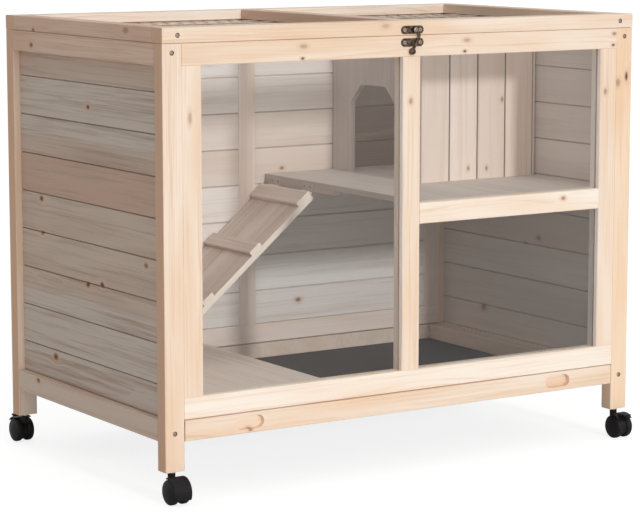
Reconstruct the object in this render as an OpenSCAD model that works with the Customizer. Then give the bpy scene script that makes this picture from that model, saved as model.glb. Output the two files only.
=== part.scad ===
// Two-storey rabbit hutch: a fir frame with clear front panes, boarded sides and back, a lift-up lid,
// an upper floor with a nest room and a hinged ramp, a pull-out tray and four swivel casters.
// X runs along the front, Y to the back and Z up. The origin lies on the ground below the middle.

/* [Overall] */
// Width over the corner posts
hutch_w = 915; // [850:5:1050]
// Depth over the corner posts
hutch_d = 535; // [500:5:620]
// Height from the ground to the top of the lid
hutch_h = 732; // [700:2:800]
// Free height of the posts between the casters and the tray
leg_clear = 46; // [30:1:70]

/* [Timber] */
// Face width of every post, rail and stile
timber_w = 34; // [30:1:38]
// Thickness of every post, rail and stile
timber_t = 25; // [24:0.5:30]
// Chamfer along the edges of the timber
arris = 1; // [0.4:0.1:2]
// Head diameter of the frame screws
screw_head_d = 7; // [6:0.5:8]
// Shank diameter of the frame screws
screw_d = 4; // [3:0.5:5]
// Length of the frame screws
screw_l = 45; // [40:1:60]
// Distance of the frame screws from the end of the frame
screw_inset = 14; // [11:0.5:18]

/* [Wall boards] */
// Thickness of the side and back boards
board_t = 11; // [9:0.5:12]
// Width that each board covers
board_pitch = 64.5; // [50:0.5:80]
// Depth of the boards behind the outer face of the frame
board_setback = 12; // [8:0.5:12]
// Width of the top board on the sides
side_first_board = 41.5; // [35:0.5:64]
// Width of the top board on the back
back_first_board = 62; // [35:0.5:64]
// Chamfer along the edges of the boards
board_chamfer = 1.2; // [0.6:0.1:2]
// Thickness of the tongue between two boards
tongue_t = 3.6; // [3:0.1:4.5]
// Length of the tongue between two boards
tongue_l = 5; // [3:0.5:7]
// Gap between two boards
board_gap = 1.2; // [0.4:0.1:2]

/* [Front panes] */
// Thickness of the clear panes
pane_t = 3; // [2:0.5:4]
// Depth of the panes behind the front face
pane_setback = 9; // [6:0.5:12]
// Depth of the grooves that hold the panes
groove_depth = 6; // [4:0.5:8]

/* [Floors] */
// Height of the lower front opening with its middle rail
lower_h = 273; // [220:1:300]
// Reach of the upper floor from the right wall
shelf_w = 396; // [380:1:410]
// Thickness of the upper floor
shelf_t = 10; // [8:0.5:14]
// Thickness of the batten under the free edge of the upper floor
batten_t = 8.5; // [7:0.5:12]
// Width of the batten under the free edge of the upper floor
batten_w = 20; // [15:1:30]
// Length of the batten under the free edge of the upper floor
batten_l = 222; // [200:1:300]
// Width of the ledgers that carry the upper floor
ledger_w = 15; // [12:1:20]
// Height of the ledgers that carry the upper floor
ledger_h = 18; // [15:1:25]
// Reach of the lower floor from the left wall
floor_w = 339; // [310:1:380]
// Thickness of the lower floor
floor_t = 11; // [8:0.5:14]

/* [Nest room] */
// Reach of the nest room from the right wall
nest_w = 251; // [220:1:280]
// Reach of the nest room from the back wall
nest_d = 280; // [260:1:320]
// Thickness of the nest room walls
nest_t = 10; // [8:0.5:14]
// Gap between the nest room walls and the lid
nest_gap = 4; // [2:0.5:10]
// Width that each board of the front wall covers
nest_pitch = 60.5; // [50:0.5:75]
// Gap between two boards of the front wall
nest_board_gap = 1.6; // [0.4:0.1:2]
// Width of the doorway
door_w = 144; // [120:1:170]
// Height of the doorway
door_h = 160; // [140:1:190]
// Width of the flat top of the doorway
door_top_w = 76; // [40:1:90]
// Height of the sloping shoulders of the doorway
door_shoulder_h = 33; // [20:1:50]
// Distance of the doorway's middle from the back wall
door_back = 131.5; // [120:0.5:160]

/* [Ramp] */
// Width of the ramp
ramp_w = 156; // [153:1:170]
// Thickness of the ramp board
ramp_t = 10; // [8:0.5:14]
// Slope of the ramp
ramp_slope = 39.5; // [38:0.5:45]
// Gap between the ramp and the back wall
ramp_back = 3.5; // [3:0.5:20]
// Width of the ramp's cleats
cleat_w = 26; // [18:1:32]
// Width of the top cleat
top_cleat_w = 32; // [26:1:44]
// Height of the ramp's cleats
cleat_h = 8; // [4:0.5:8.5]
// Distance from one cleat to the next
cleat_pitch = 124; // [90:1:130]
// Setback of the cleats from the sides of the ramp
cleat_inset = 0; // [0:0.5:12]

/* [Tray] */
// Thickness of the tray's walls
tray_wall_t = 20; // [14:1:22]
// Thickness of the tray's base
tray_base_t = 3; // [2:0.5:5]
// Length of the finger recesses
recess_l = 52; // [44:1:64]
// Height of the finger recesses
recess_h = 21; // [16:1:24]
// Depth of the finger recesses
recess_depth = 9; // [6:0.5:14]
// Distance of the finger recesses from the middle
recess_x = 306; // [200:1:340]
// Width of the foot under the tray
runner_foot = 27; // [22:1:34]
// Thickness of the foot under the tray
runner_t = 6.5; // [4:0.5:9]
// Gap on each side of the tray's front
tray_gap = 1.2; // [0.3:0.1:1.5]

/* [Lid] */
// Thickness of the lid's frame
lid_t = 23.5; // [20:0.5:30]
// Gap between the lid and the frame
lid_gap = 0.5; // [0.3:0.1:1]
// Thickness of the wires of the lid's mesh
wire_d = 1.4; // [1:0.1:2]
// Distance between the mesh wires that run to the back
mesh_x = 26; // [20:1:40]
// Distance between the mesh wires that run along the front
mesh_y = 52; // [26:1:60]
// Height of the mesh above the lid's underside
mesh_up = 4; // [3:0.5:6]
// Depth of the grooves that hold the mesh
mesh_in = 8; // [5:0.5:12]
// Distance of the lid screws from the lid's corners
lid_screw_in = 27; // [24:0.5:30]

/* [Hinges] */
// Thickness of the hinge leaves
leaf_t = 1.2; // [0.8:0.1:1.6]
// Outer diameter of the hinge knuckles
knuckle_d = 5.2; // [4.8:0.1:6]
// Diameter of the hinge pins
hinge_pin_d = 2.4; // [2:0.1:2.8]
// Length of the lid hinges
lid_hinge_l = 60; // [40:1:80]
// Width of the lid hinges' leaves
lid_leaf_w = 18; // [14:0.5:20]
// Distance of the lid hinges from the middle
lid_hinge_x = 300; // [150:1:360]
// Length of the ramp hinges
ramp_hinge_l = 30; // [20:1:34]
// Width of the ramp hinges' leaves
ramp_leaf_w = 14; // [11:0.5:16]
// Distance between the ramp hinges
ramp_hinge_gap = 106; // [60:1:109]
// Offset of the ramp hinges to the front of the ramp's middle
ramp_hinge_shift = 8; // [0:0.5:9]

/* [Latch] */
// Length of the latch plates
latch_l = 43; // [36:1:55]
// Height of the latch plates
latch_h = 13; // [11:0.5:15]
// Thickness of the latch plates
latch_t = 1.5; // [1:0.1:2]
// Distance between the two latch plates
latch_gap = 20; // [17:0.5:23]
// Height of the upper latch plate above the lid's underside
latch_up = 8.5; // [7.5:0.5:12]
// Width of the hook's arm
hook_w = 4; // [3:0.2:5]
// Thickness of the hook
hook_t = 2.4; // [1.6:0.1:3]
// Radius of the hook's bend
hook_r = 9.7; // [8:0.1:12]
// Length of the hook's straight tail
hook_tail = 21.5; // [16:0.5:26]
// Diameter of the hook's end
hook_end_d = 10.5; // [8:0.5:12]
// Diameter of the hook's pivot
pivot_d = 4; // [3:0.1:5]

/* [Casters] */
// Height of the casters
caster_h = 50; // [50:1:60]
// Diameter of the caster wheels
wheel_d = 40; // [36:1:40]
// Width of each caster wheel
wheel_w = 14.5; // [12:0.5:16]
// Offset of the wheels behind the stem
trail = 15; // [13:0.5:17]
// Thickness of the web between the wheels
web_t = 7; // [6:0.5:9]
// Thickness of the hood over the wheels
hood_t = 2; // [1.6:0.1:2.5]
// Diameter of the caster stems
stem_d = 9; // [8:0.5:10]
// Length of the stems inside the posts
stem_in = 26; // [20:1:40]
// Diameter of the caster axles
axle_d = 6; // [5:0.5:7]
// Width of the brake levers
lever_w = 14; // [10:0.5:16]
// Length of the brake levers
lever_l = 10.5; // [8:0.5:12]

/* [Hidden] */
$fn = 48;

// Clearances
touch = 0.3;      // between pieces that meet without a fit
running = 0.05;   // radial, of a pin in its bore
cut = 1;          // overrun of a cutting shape

// Plan
half_w = hutch_w / 2;
half_d = hutch_d / 2;
post_x = half_w - timber_w;
stile_x = post_x - timber_w;
mid_x = timber_w / 2;
in_x = half_w - timber_t;
in_y = half_d - timber_t;
wall_x = half_w - board_setback - board_t;
wall_y = half_d - board_setback - board_t;

// Levels
post_z = caster_h;
tray_z = post_z + leg_clear;
floor_z = tray_z + timber_w;
sill_z = floor_z + timber_w;
floor_top = floor_z + floor_t;
shelf_z = sill_z + lower_h;
lid_z = hutch_h - lid_t;
frame_z = lid_z - lid_gap;
head_z = frame_z - timber_w;

// Upper floor and nest room
shelf_x = wall_x - shelf_w;
batten_z = shelf_z - shelf_t - batten_t;
nest_x = wall_x - nest_w;
nest_y = wall_y - nest_d;
nest_top = frame_z - nest_gap;
door_y = wall_y - door_back;

// Hinges: the axis stands off the wood by the knuckle's radius
knuckle_r = knuckle_d / 2;
hinge_pin_r = hinge_pin_d / 2;
hinge_off = knuckle_r + touch;
hinge_clear = knuckle_r + 0.5;
lid_axis_y = half_d + hinge_off;
lid_axis_z = lid_z - lid_gap / 2;
ramp_axis_x = shelf_x - hinge_off;
ramp_axis_z = batten_z;
ramp_y = wall_y - ramp_back - ramp_w / 2;

// Ramp, described hanging straight down from its hinge before it is swung out to its slope
ramp_face = hinge_off - leaf_t;
ramp_start = hinge_clear + 0.4;
function ramp_reach(x) = (ramp_axis_z - floor_top - touch - x * cos(ramp_slope)) / sin(ramp_slope);

// Tray
tray_half = post_x - tray_gap;
tray_out = tray_half - 1;
tray_free = 2;         // above the tray's walls and below its base
tray_wall_top = floor_z - tray_free;
tray_base_z = tray_z + tray_free;
tray_back = in_y + tray_wall_t + touch;
finger_z = tray_z + timber_w / 2;

// Lid frame and its mesh, whose long wires lie on its cross wires
lid_in_x = half_w - timber_w;
lid_in_y = half_d - timber_w;
mesh_low = lid_z + mesh_up + running + wire_d / 2;
mesh_high = mesh_low + wire_d + running;

// Latch, measured from the front face
latch_z = lid_z + latch_up;
keeper_z = latch_z - latch_gap;
hook_y = latch_t + touch;
pivot_x = 3.7;
eye_wall = 2.5;        // round the hook's pivot
rivet_rim = 1.5;       // of the rivet's head round the pivot
hook_swing_up = 80;    // bend angle at the pivot
hook_swing_down = -40; // bend angle where the tail starts
hook_cx = pivot_x - hook_r * cos(hook_swing_up);
hook_cz = latch_z - hook_r * sin(hook_swing_up);

// Casters
wheel_r = wheel_d / 2;
stem_r = stem_d / 2;
axle_r = axle_d / 2;
web_h = web_t / 2;
web_in = 3;            // of the web's rim inside the treads
wheel_in = web_h + touch;
wheel_out = wheel_in + wheel_w;
dome_h = 2.5;          // bulge of the wheels' outer faces
tread_round = 4;       // of the treads' edges
axle_cap = 3;          // over the ends of the axle
axle_end = wheel_out - dome_h - axle_cap;
hood_in_r = wheel_r + 1;
hood_r = hood_in_r + hood_t;
boss_wall = 1.6;       // round the stem
boss_r = stem_r + boss_wall;
collar_t = 2.5;
boss_top = caster_h - collar_t - touch;
stem_up = 14;          // from the axle to the lower end of the stem
stem_end = wheel_r + stem_up;
hood_full = 104;       // end of the hood's full width, just over the wheels
bridge_end = 138;      // end of the bridge that carries the stem
bridge_lap = 20;       // of the bridge inside the hood
bridge_half = boss_r + 1;
bridge_drop = 0.4;     // of the bridge below the hood's face
hood_low = -28;        // lower end of a hood behind the wheels
hood_low_braked = 44;  // lower end of a hood that leaves the treads to the brake
hood_half = wheel_out - dome_h;
hood_round = 1.5;      // of the hood's outer edges
lever_at = 50;         // place of the brake lever on the hood
lever_up = 4;          // from there to the lever's pivot
lever_tilt = 40;       // lift of the brake lever off the hood
lever_r = 2.2;
lever_pin_r = 1.2;
lever_pivot_r = hood_r + lever_r + 0.5;
caster_x = half_w - timber_w / 2;
caster_y = half_d - timber_t / 2;
// Each caster: side, front or back, and the heading of its wheels
front_left = [-1, -1, -90];
front_right = [1, -1, -90];
back_left = [-1, 1, 90];
back_right = [1, 1, 90];

// Colours
fir = [0.95, 0.87, 0.77];
fir_board = [0.86, 0.77, 0.68];
fir_inner = [0.78, 0.70, 0.62];
clear = [0.85, 0.9, 0.92, 0.3];
dark_grey = [0.29, 0.28, 0.29];
black = [0.12, 0.12, 0.12];
zinc = [0.72, 0.72, 0.7];
bronze = [0.31, 0.25, 0.2];

// Rectangle with chamfered corners
module eased(w, h, c) {
    polygon([
        [c, 0], [w - c, 0], [w, c], [w, h - c],
        [w - c, h], [c, h], [0, h - c], [0, c]
    ]);
}

// Bars between two corners, with their long edges eased
module bar_x(lo, hi, c = arris) {
    translate(lo)
        rotate([90, 0, 90])
            linear_extrude(hi.x - lo.x)
                eased(hi.y - lo.y, hi.z - lo.z, c);
}

module bar_y(lo, hi, c = arris) {
    translate([lo.x, hi.y, lo.z])
        rotate([90, 0, 0])
            linear_extrude(hi.y - lo.y)
                eased(hi.x - lo.x, hi.z - lo.z, c);
}

module bar_z(lo, hi, c = arris) {
    translate(lo)
        linear_extrude(hi.z - lo.z)
            eased(hi.x - lo.x, hi.y - lo.y, c);
}

// Plain block between two corners
module block(lo, hi) {
    translate(lo)
        cube(hi - lo);
}

// Flat shape with two round ends along X
module obround(l, h) {
    square([l - h, h], center = true);
    for (side = [-1, 1])
        translate([side * (l - h) / 2, 0])
            circle(d = h);
}

// Board edges from the top down: the first board is cut to width, the last takes what is left
least_board = 20;
function board_edges(top, bottom, first, pitch) =
    concat([top], [for (e = top - first; e > bottom + least_board; e = e - pitch) e], [bottom]);

// Section of one tongued and grooved board: thickness along X, width along Y
module board_section(lo, hi, t, gap, tongue, groove) {
    body_lo = lo + gap / 2;
    body_hi = hi - gap / 2;
    slot_t = tongue_t + 2 * touch;
    difference() {
        union() {
            translate([0, body_lo])
                eased(t, body_hi - body_lo, board_chamfer);
            if (tongue)
                translate([t / 2 - tongue_t / 2, body_hi - cut])
                    square([tongue_t, tongue_l + cut]);
        }
        if (groove)
            translate([t / 2 - slot_t / 2, body_lo - cut])
                square([slot_t, tongue_l - gap + touch + cut]);
    }
}

// Row of boards between the given edges, length along Z
module boards(edges, len, t, gap) {
    last = len(edges) - 2;
    for (i = [0:last])
        linear_extrude(len)
            board_section(edges[i + 1], edges[i], t, gap, i > 0, i < last);
}

// Frame screw along +Y from the face at y = 0, grown by g for its hole
module screw(g = 0) {
    head_t = 3;
    sunk = 0.4;
    rotate([-90, 0, 0]) {
        translate([0, 0, g > 0 ? -cut : sunk])
            cylinder(d = screw_head_d + 2 * g, h = head_t + g + (g > 0 ? cut : -sunk));
        cylinder(d = screw_d + 2 * g, h = screw_l + g);
    }
}

// Places the frame screws of one post on its outer face
module at_post_screws(sx, sy, g = 0) {
    for (z = [frame_z - screw_inset, tray_z + screw_inset])
        translate([sx * caster_x, sy * half_d, z])
            rotate([0, 0, sy < 0 ? 0 : 180])
                screw(g);
}

// Places the lid screws of one corner on the lid's front or back face
module at_lid_screws(sx, sy, g = 0) {
    translate([sx * (half_w - lid_screw_in), sy * half_d, lid_z + lid_t / 2])
        rotate([0, 0, sy < 0 ? 0 : 180])
            screw(g);
}

// Corner post with its screw holes and the socket for a caster stem
module post(sx, sy) {
    x = sx < 0 ? -half_w : post_x;
    y = sy < 0 ? -half_d : in_y;
    color(fir)
        difference() {
            bar_z([x, y, post_z], [x + timber_w, y + timber_t, frame_z]);
            at_post_screws(sx, sy, 0.1);
            translate([sx * caster_x, sy * caster_y, post_z - cut])
                cylinder(r = stem_r + running, h = stem_in + touch + cut);
        }
}

module post_front_left() post(-1, -1);
module post_front_right() post(1, -1);
module post_back_left() post(-1, 1);
module post_back_right() post(1, 1);

// Groove for the panes, cut along X or Z in the front frame
pane_y = -half_d + pane_setback;
slot_y0 = pane_y - touch;
slot_y1 = pane_y + pane_t + touch;
slot_depth = groove_depth + touch;

module slot_x(x0, x1, z, up) {
    z0 = up ? z - cut : z - slot_depth;
    block([x0, slot_y0, z0], [x1, slot_y1, z0 + slot_depth + cut]);
}

module slot_z(x, right, z0, z1) {
    x0 = right ? x - cut : x - slot_depth;
    block([x0, slot_y0, z0], [x0 + slot_depth + cut, slot_y1, z1]);
}

module front_top_rail() {
    color(fir)
        difference() {
            bar_x([-post_x, -half_d, head_z], [post_x, -in_y, frame_z]);
            slot_x(-post_x - cut, post_x + cut, head_z, true);
        }
}

module front_bottom_rail() {
    color(fir)
        difference() {
            bar_x([-post_x, -half_d, floor_z], [post_x, -in_y, sill_z]);
            slot_x(-post_x - cut, post_x + cut, sill_z, false);
        }
}

module front_middle_rail() {
    color(fir)
        difference() {
            bar_x([mid_x, -half_d, shelf_z - timber_w], [stile_x, -in_y, shelf_z]);
            slot_x(mid_x - cut, stile_x + cut, shelf_z, false);
            slot_x(mid_x - cut, stile_x + cut, shelf_z - timber_w, true);
        }
}

// Front stile from x to the right, grooved on its left or right edge
module front_stile(x, left, right) {
    color(fir)
        difference() {
            bar_z([x, -half_d, sill_z], [x + timber_w, -in_y, head_z]);
            if (left)
                slot_z(x, true, sill_z - cut, head_z + cut);
            if (right)
                slot_z(x + timber_w, false, sill_z - cut, head_z + cut);
        }
}

module front_left_stile() front_stile(-post_x, false, true);
module front_middle_stile() front_stile(-mid_x, true, true);
module front_right_stile() front_stile(stile_x, true, false);

// Clear pane that stands in the grooves round one opening
module pane(x0, x1, z0, z1) {
    g = groove_depth;
    color(clear)
        block([x0 - g, pane_y, z0 - g], [x1 + g, pane_y + pane_t, z1 + g]);
}

module left_pane() pane(-stile_x, -mid_x, sill_z, head_z);
module upper_pane() pane(mid_x, stile_x, shelf_z, head_z);
module lower_pane() pane(mid_x, stile_x, sill_z, shelf_z - timber_w);

// Top and bottom rails of one side, drilled for the frame screws
module side_rails(sx) {
    x = sx < 0 ? -half_w : in_x;
    color(fir)
        difference() {
            union() {
                bar_y([x, -in_y, head_z], [x + timber_t, in_y, frame_z]);
                bar_y([x, -in_y, tray_z], [x + timber_t, in_y, floor_z]);
            }
            for (sy = [-1, 1])
                at_post_screws(sx, sy, 0.1);
        }
}

module left_side_rails() side_rails(-1);
module right_side_rails() side_rails(1);

module side_boards(sx) {
    edges = board_edges(head_z, floor_z, side_first_board, board_pitch);
    color(fir_board)
        translate([sx < 0 ? -wall_x - board_t : wall_x, in_y, 0])
            rotate([90, 0, 0])
                boards(edges, 2 * in_y, board_t, board_gap);
}

module left_side_boards() side_boards(-1);
module right_side_boards() side_boards(1);

module back_top_rail() {
    color(fir)
        bar_x([-post_x, in_y, head_z], [post_x, half_d, frame_z]);
}

module back_bottom_rail() {
    color(fir)
        bar_x([-post_x, in_y, floor_z], [post_x, half_d, sill_z]);
}

module back_stiles() {
    color(fir)
        for (x = [-post_x, -mid_x, stile_x])
            bar_z([x, in_y, sill_z], [x + timber_w, half_d, head_z]);
}

module back_boards() {
    edges = board_edges(head_z, sill_z, back_first_board, board_pitch);
    color(fir_board)
        for (x = [-stile_x, mid_x])
            translate([x, wall_y, 0])
                rotate([90, 0, 90])
                    boards(edges, stile_x - mid_x, board_t, board_gap);
}

module shelf() {
    color(fir_inner)
        bar_y([shelf_x, -in_y, shelf_z - shelf_t], [wall_x - touch, in_y, shelf_z], arris / 2);
}

module shelf_batten() {
    color(fir_inner)
        bar_y([shelf_x, in_y - batten_l, batten_z], [shelf_x + batten_w, in_y, batten_z + batten_t],
            arris / 2);
}

module shelf_ledgers() {
    z1 = shelf_z - shelf_t;
    z0 = z1 - ledger_h;
    inner = in_y - ledger_w;
    color(fir_inner) {
        bar_x([shelf_x, -in_y, z0], [wall_x - touch, -inner, z1]);
        bar_x([shelf_x + batten_w, inner, z0], [wall_x - touch, in_y, z1]);
        bar_y([wall_x - ledger_w, -inner, z0], [wall_x, inner, z1]);
    }
}

// Left wall of the nest room, with its doorway
module nest_partition() {
    top = shelf_z + door_h;
    shoulder = top - door_shoulder_h;
    color(fir_inner)
        difference() {
            block([nest_x, nest_y + nest_t, shelf_z], [nest_x + nest_t, in_y, nest_top]);
            translate([nest_x - cut, door_y, 0])
                rotate([90, 0, 90])
                    linear_extrude(nest_t + 2 * cut)
                        polygon([
                            [-door_w / 2, shelf_z - cut], [door_w / 2, shelf_z - cut],
                            [door_w / 2, shoulder], [door_top_w / 2, top],
                            [-door_top_w / 2, top], [-door_w / 2, shoulder]
                        ]);
        }
}

module nest_front_boards() {
    edges = board_edges(-nest_x, -in_x, nest_pitch, nest_pitch);
    color(fir_inner)
        translate([0, nest_y, shelf_z])
            rotate([0, 0, 90])
                boards(edges, nest_top - shelf_z, nest_t, nest_board_gap);
}

module lower_floor() {
    color(fir_inner)
        bar_y([-wall_x + touch, -in_y, floor_z], [-wall_x + floor_w, in_y, floor_top], arris / 2);
}

// Front of the tray, with its two finger recesses
module tray_front() {
    color(fir)
        difference() {
            bar_x([-tray_half, -half_d, tray_z], [tray_half, -in_y, floor_z - tray_gap]);
            for (side = [-1, 1])
                translate([side * recess_x, -half_d + recess_depth, finger_z])
                    rotate([90, 0, 0])
                        linear_extrude(recess_depth + cut)
                            obround(recess_l, recess_h);
        }
}

module tray_walls() {
    z0 = tray_base_z + tray_base_t;
    color(fir_inner) {
        for (x = [-tray_out, tray_out - tray_wall_t])
            bar_y([x, -in_y, z0], [x + tray_wall_t, tray_back, tray_wall_top]);
        side = tray_out - tray_wall_t;
        bar_x([-side, tray_back - tray_wall_t, z0], [side, tray_back, tray_wall_top]);
    }
}

module tray_base() {
    color(dark_grey)
        block([-tray_out, -in_y, tray_base_z], [tray_out, tray_back, tray_base_z + tray_base_t]);
}

// Angle runners on the side rails that carry the tray
module tray_runners() {
    foot_z1 = tray_base_z - touch;
    foot_z0 = foot_z1 - runner_t;
    leg_x = tray_half + 1;
    foot_x = in_x - runner_foot;
    color(fir_inner)
        for (side = [0, 1])
            mirror([side, 0, 0])
                translate([0, in_y, 0])
                    rotate([90, 0, 0])
                        linear_extrude(2 * in_y - 2)
                            polygon([
                                [foot_x, foot_z0], [in_x, foot_z0], [in_x, tray_wall_top],
                                [leg_x, tray_wall_top], [leg_x, foot_z1], [foot_x, foot_z1]
                            ]);
}

// Grooves for the mesh round both openings of the lid
module mesh_grooves() {
    depth = mesh_in + touch;
    for (side = [0, 1])
        mirror([side, 0, 0])
            block(
                [mid_x - depth, -lid_in_y - depth, lid_z + mesh_up],
                [lid_in_x + depth, lid_in_y + depth, mesh_high + wire_d / 2 + touch]
            );
}

module lid_front_rail() {
    color(fir)
        difference() {
            bar_x([-half_w, -half_d, lid_z], [half_w, -lid_in_y, hutch_h]);
            mesh_grooves();
            for (sx = [-1, 1])
                at_lid_screws(sx, -1, 0.1);
        }
}

module lid_back_rail() {
    color(fir)
        difference() {
            bar_x([-half_w, lid_in_y, lid_z], [half_w, half_d, hutch_h]);
            mesh_grooves();
            for (sx = [-1, 1])
                at_lid_screws(sx, 1, 0.1);
        }
}

module lid_side_rail(sx) {
    x = sx < 0 ? -half_w : lid_in_x;
    color(fir)
        difference() {
            bar_y([x, -lid_in_y, lid_z], [x + timber_w, lid_in_y, hutch_h]);
            mesh_grooves();
            for (sy = [-1, 1])
                at_lid_screws(sx, sy, 0.1);
        }
}

module lid_left_rail() lid_side_rail(-1);
module lid_right_rail() lid_side_rail(1);

module lid_crossbar() {
    color(fir)
        difference() {
            bar_y([-mid_x, -lid_in_y, lid_z], [mid_x, lid_in_y, hutch_h]);
            mesh_grooves();
        }
}

// Places of evenly spread wires about the middle of an opening
function wire_places(opening, pitch) =
    let (n = floor(opening / pitch))
    [for (i = [0:n - 1]) (i - (n - 1) / 2) * pitch];

// Wire mesh in both openings of the lid, its wire ends held in the grooves
module lid_panels() {
    opening_x = lid_in_x - mid_x;
    opening_y = 2 * lid_in_y;
    middle = (lid_in_x + mid_x) / 2;
    color(zinc)
        for (side = [-1, 1])
            translate([side * middle, 0, 0]) {
                for (x = wire_places(opening_x, mesh_x))
                    translate([x, -lid_in_y - mesh_in, mesh_low])
                        rotate([-90, 0, 0])
                            cylinder(d = wire_d, h = opening_y + 2 * mesh_in);
                for (y = wire_places(opening_y, mesh_y))
                    translate([-opening_x / 2 - mesh_in, y, mesh_high])
                        rotate([0, 90, 0])
                            cylinder(d = wire_d, h = opening_x + 2 * mesh_in);
            }
}

// One hinge leaf: the axis lies along X, the wood behind it at -Y, and the plate runs up.
// The outer leaf has the end knuckles and the pin, the inner leaf the middle knuckle.
module hinge_leaf(l, w, outer) {
    third = l / 3;
    plate_y = -hinge_off;
    spans = outer ? [[-l / 2, -third / 2 - touch / 2], [third / 2 + touch / 2, l / 2]]
                  : [[-third / 2 + touch / 2, third / 2 - touch / 2]];
    difference() {
        union() {
            block([-l / 2, plate_y, hinge_clear], [l / 2, plate_y + leaf_t, w]);
            for (s = spans) {
                block([s[0], plate_y, 0], [s[1], plate_y + leaf_t, hinge_clear + cut]);
                translate([s[0], 0, 0])
                    rotate([0, 90, 0])
                        cylinder(r = knuckle_r, h = s[1] - s[0]);
            }
            if (outer)
                translate([-l / 2, 0, 0])
                    rotate([0, 90, 0])
                        cylinder(r = hinge_pin_r, h = l);
        }
        if (!outer)
            translate([-l, 0, 0])
                rotate([0, 90, 0])
                    cylinder(r = hinge_pin_r + running, h = 2 * l);
    }
}

module at_lid_hinges() {
    for (side = [-1, 1])
        translate([side * lid_hinge_x, lid_axis_y, lid_axis_z])
            children();
}

module lid_hinge_fixed_leaves() {
    color(zinc)
        at_lid_hinges()
            mirror([0, 0, 1])
                hinge_leaf(lid_hinge_l, lid_leaf_w, true);
}

module lid_hinge_moving_leaves() {
    color(zinc)
        at_lid_hinges()
            hinge_leaf(lid_hinge_l, lid_leaf_w, false);
}

module at_ramp_hinges() {
    for (side = [-1, 1])
        translate([0, side * ramp_hinge_gap / 2 - ramp_hinge_shift, 0])
            children();
}

// Swings a ramp piece, drawn hanging from the hinge, out to the slope of the ramp
module at_ramp_slope() {
    translate([ramp_axis_x, ramp_y, ramp_axis_z])
        rotate([0, 90 - ramp_slope, 0])
            children();
}

module ramp_hinge_fixed_leaves() {
    color(zinc)
        translate([ramp_axis_x, ramp_y, ramp_axis_z])
            at_ramp_hinges()
                rotate([0, 0, 90])
                    hinge_leaf(ramp_hinge_l, ramp_leaf_w, true);
}

module ramp_hinge_moving_leaves() {
    color(zinc)
        at_ramp_slope()
            at_ramp_hinges()
                mirror([0, 0, 1])
                    rotate([0, 0, 90])
                        hinge_leaf(ramp_hinge_l, ramp_leaf_w, false);
}

// Sloping board with its foot cut level and its hinge leaves let in
module ramp_board() {
    back = ramp_face + ramp_t;
    color(fir_inner)
        at_ramp_slope()
            difference() {
                translate([0, ramp_w / 2, 0])
                    rotate([90, 0, 0])
                        linear_extrude(ramp_w)
                            polygon([
                                [ramp_face, -ramp_start], [back, -ramp_start],
                                [back, -ramp_reach(back)], [ramp_face, -ramp_reach(ramp_face)]
                            ]);
                at_ramp_hinges()
                    block(
                        [ramp_face - cut, -ramp_hinge_l / 2 - touch, -ramp_leaf_w - touch],
                        [hinge_off + touch, ramp_hinge_l / 2 + touch, 0]
                    );
            }
}

module ramp_cleats() {
    half = ramp_w / 2 - cleat_inset;
    first = ramp_start + top_cleat_w;
    last = ramp_reach(ramp_face) - cleat_w;
    color(fir_inner)
        at_ramp_slope()
            for (low = [first:cleat_pitch:last]) {
                w = low == first ? top_cleat_w : cleat_w;
                bar_y([ramp_face - cleat_h, -half, -low], [ramp_face, half, w - low]);
            }
}

// Latch plate with round ends and two screw heads
module latch_base() {
    hole_x = latch_l / 2 - latch_h / 2;
    head_d = 7;
    head_h = touch / 2;
    rotate([90, 0, 0]) {
        linear_extrude(latch_t)
            obround(latch_l, latch_h);
        for (side = [-1, 1])
            translate([side * hole_x, 0, 0])
                cylinder(d = head_d, h = latch_t + head_h);
    }
}

// Upper plate on the lid, with the pivot of the hook
module latch_plate() {
    rivet_h = 1.2;
    color(bronze) {
        translate([0, -half_d, latch_z])
            latch_base();
        translate([pivot_x, -half_d, latch_z])
            rotate([90, 0, 0]) {
                cylinder(d = pivot_d, h = hook_y + hook_t + touch + rivet_h);
                translate([0, 0, hook_y + hook_t + touch])
                    cylinder(d = pivot_d + 2 * rivet_rim, h = rivet_h);
            }
    }
}

// Outline of the hook: an eye at the pivot, a bend and a straight tail
module hook_outline() {
    tail_dir = hook_swing_down - 80;
    lap = 1.5;
    tail_at = [hook_cx + hook_r * cos(hook_swing_down), hook_cz + hook_r * sin(hook_swing_down)];
    far = 3 * hook_r;
    translate([pivot_x, latch_z])
        circle(d = pivot_d + 2 * eye_wall);
    translate([hook_cx, hook_cz])
        intersection() {
            difference() {
                circle(r = hook_r + hook_w / 2);
                circle(r = hook_r - hook_w / 2);
            }
            polygon([
                [0, 0],
                far * [cos(hook_swing_down), sin(hook_swing_down)],
                far * [cos(20), sin(20)],
                far * [cos(hook_swing_up), sin(hook_swing_up)]
            ]);
        }
    translate(tail_at)
        rotate(tail_dir)
            translate([-lap, -hook_w / 2])
                square([hook_tail + lap, hook_w]);
}

// Swan-necked hook that swings on the upper plate
module latch_hook() {
    end_x = hook_cx + hook_r * cos(hook_swing_down) + hook_tail * cos(hook_swing_down - 80);
    end_z = hook_cz + hook_r * sin(hook_swing_down) + hook_tail * sin(hook_swing_down - 80);
    color(bronze)
        translate([0, -half_d - hook_y, 0])
            rotate([90, 0, 0])
                difference() {
                    union() {
                        linear_extrude(hook_t)
                            hook_outline();
                        translate([end_x, end_z, 0])
                            cylinder(d = hook_end_d, h = hook_t + 1);
                    }
                    translate([pivot_x, latch_z, -cut])
                        cylinder(d = pivot_d + 2 * running, h = hook_t + 2 * cut);
                }
}

// Lower plate on the front rail, with the low stud that the hook snaps over
module latch_keeper() {
    stud_d = 5;
    color(bronze)
        translate([0, -half_d, keeper_z]) {
            latch_base();
            rotate([90, 0, 0])
                cylinder(d = stud_d, h = latch_t + touch / 2);
        }
}

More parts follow.
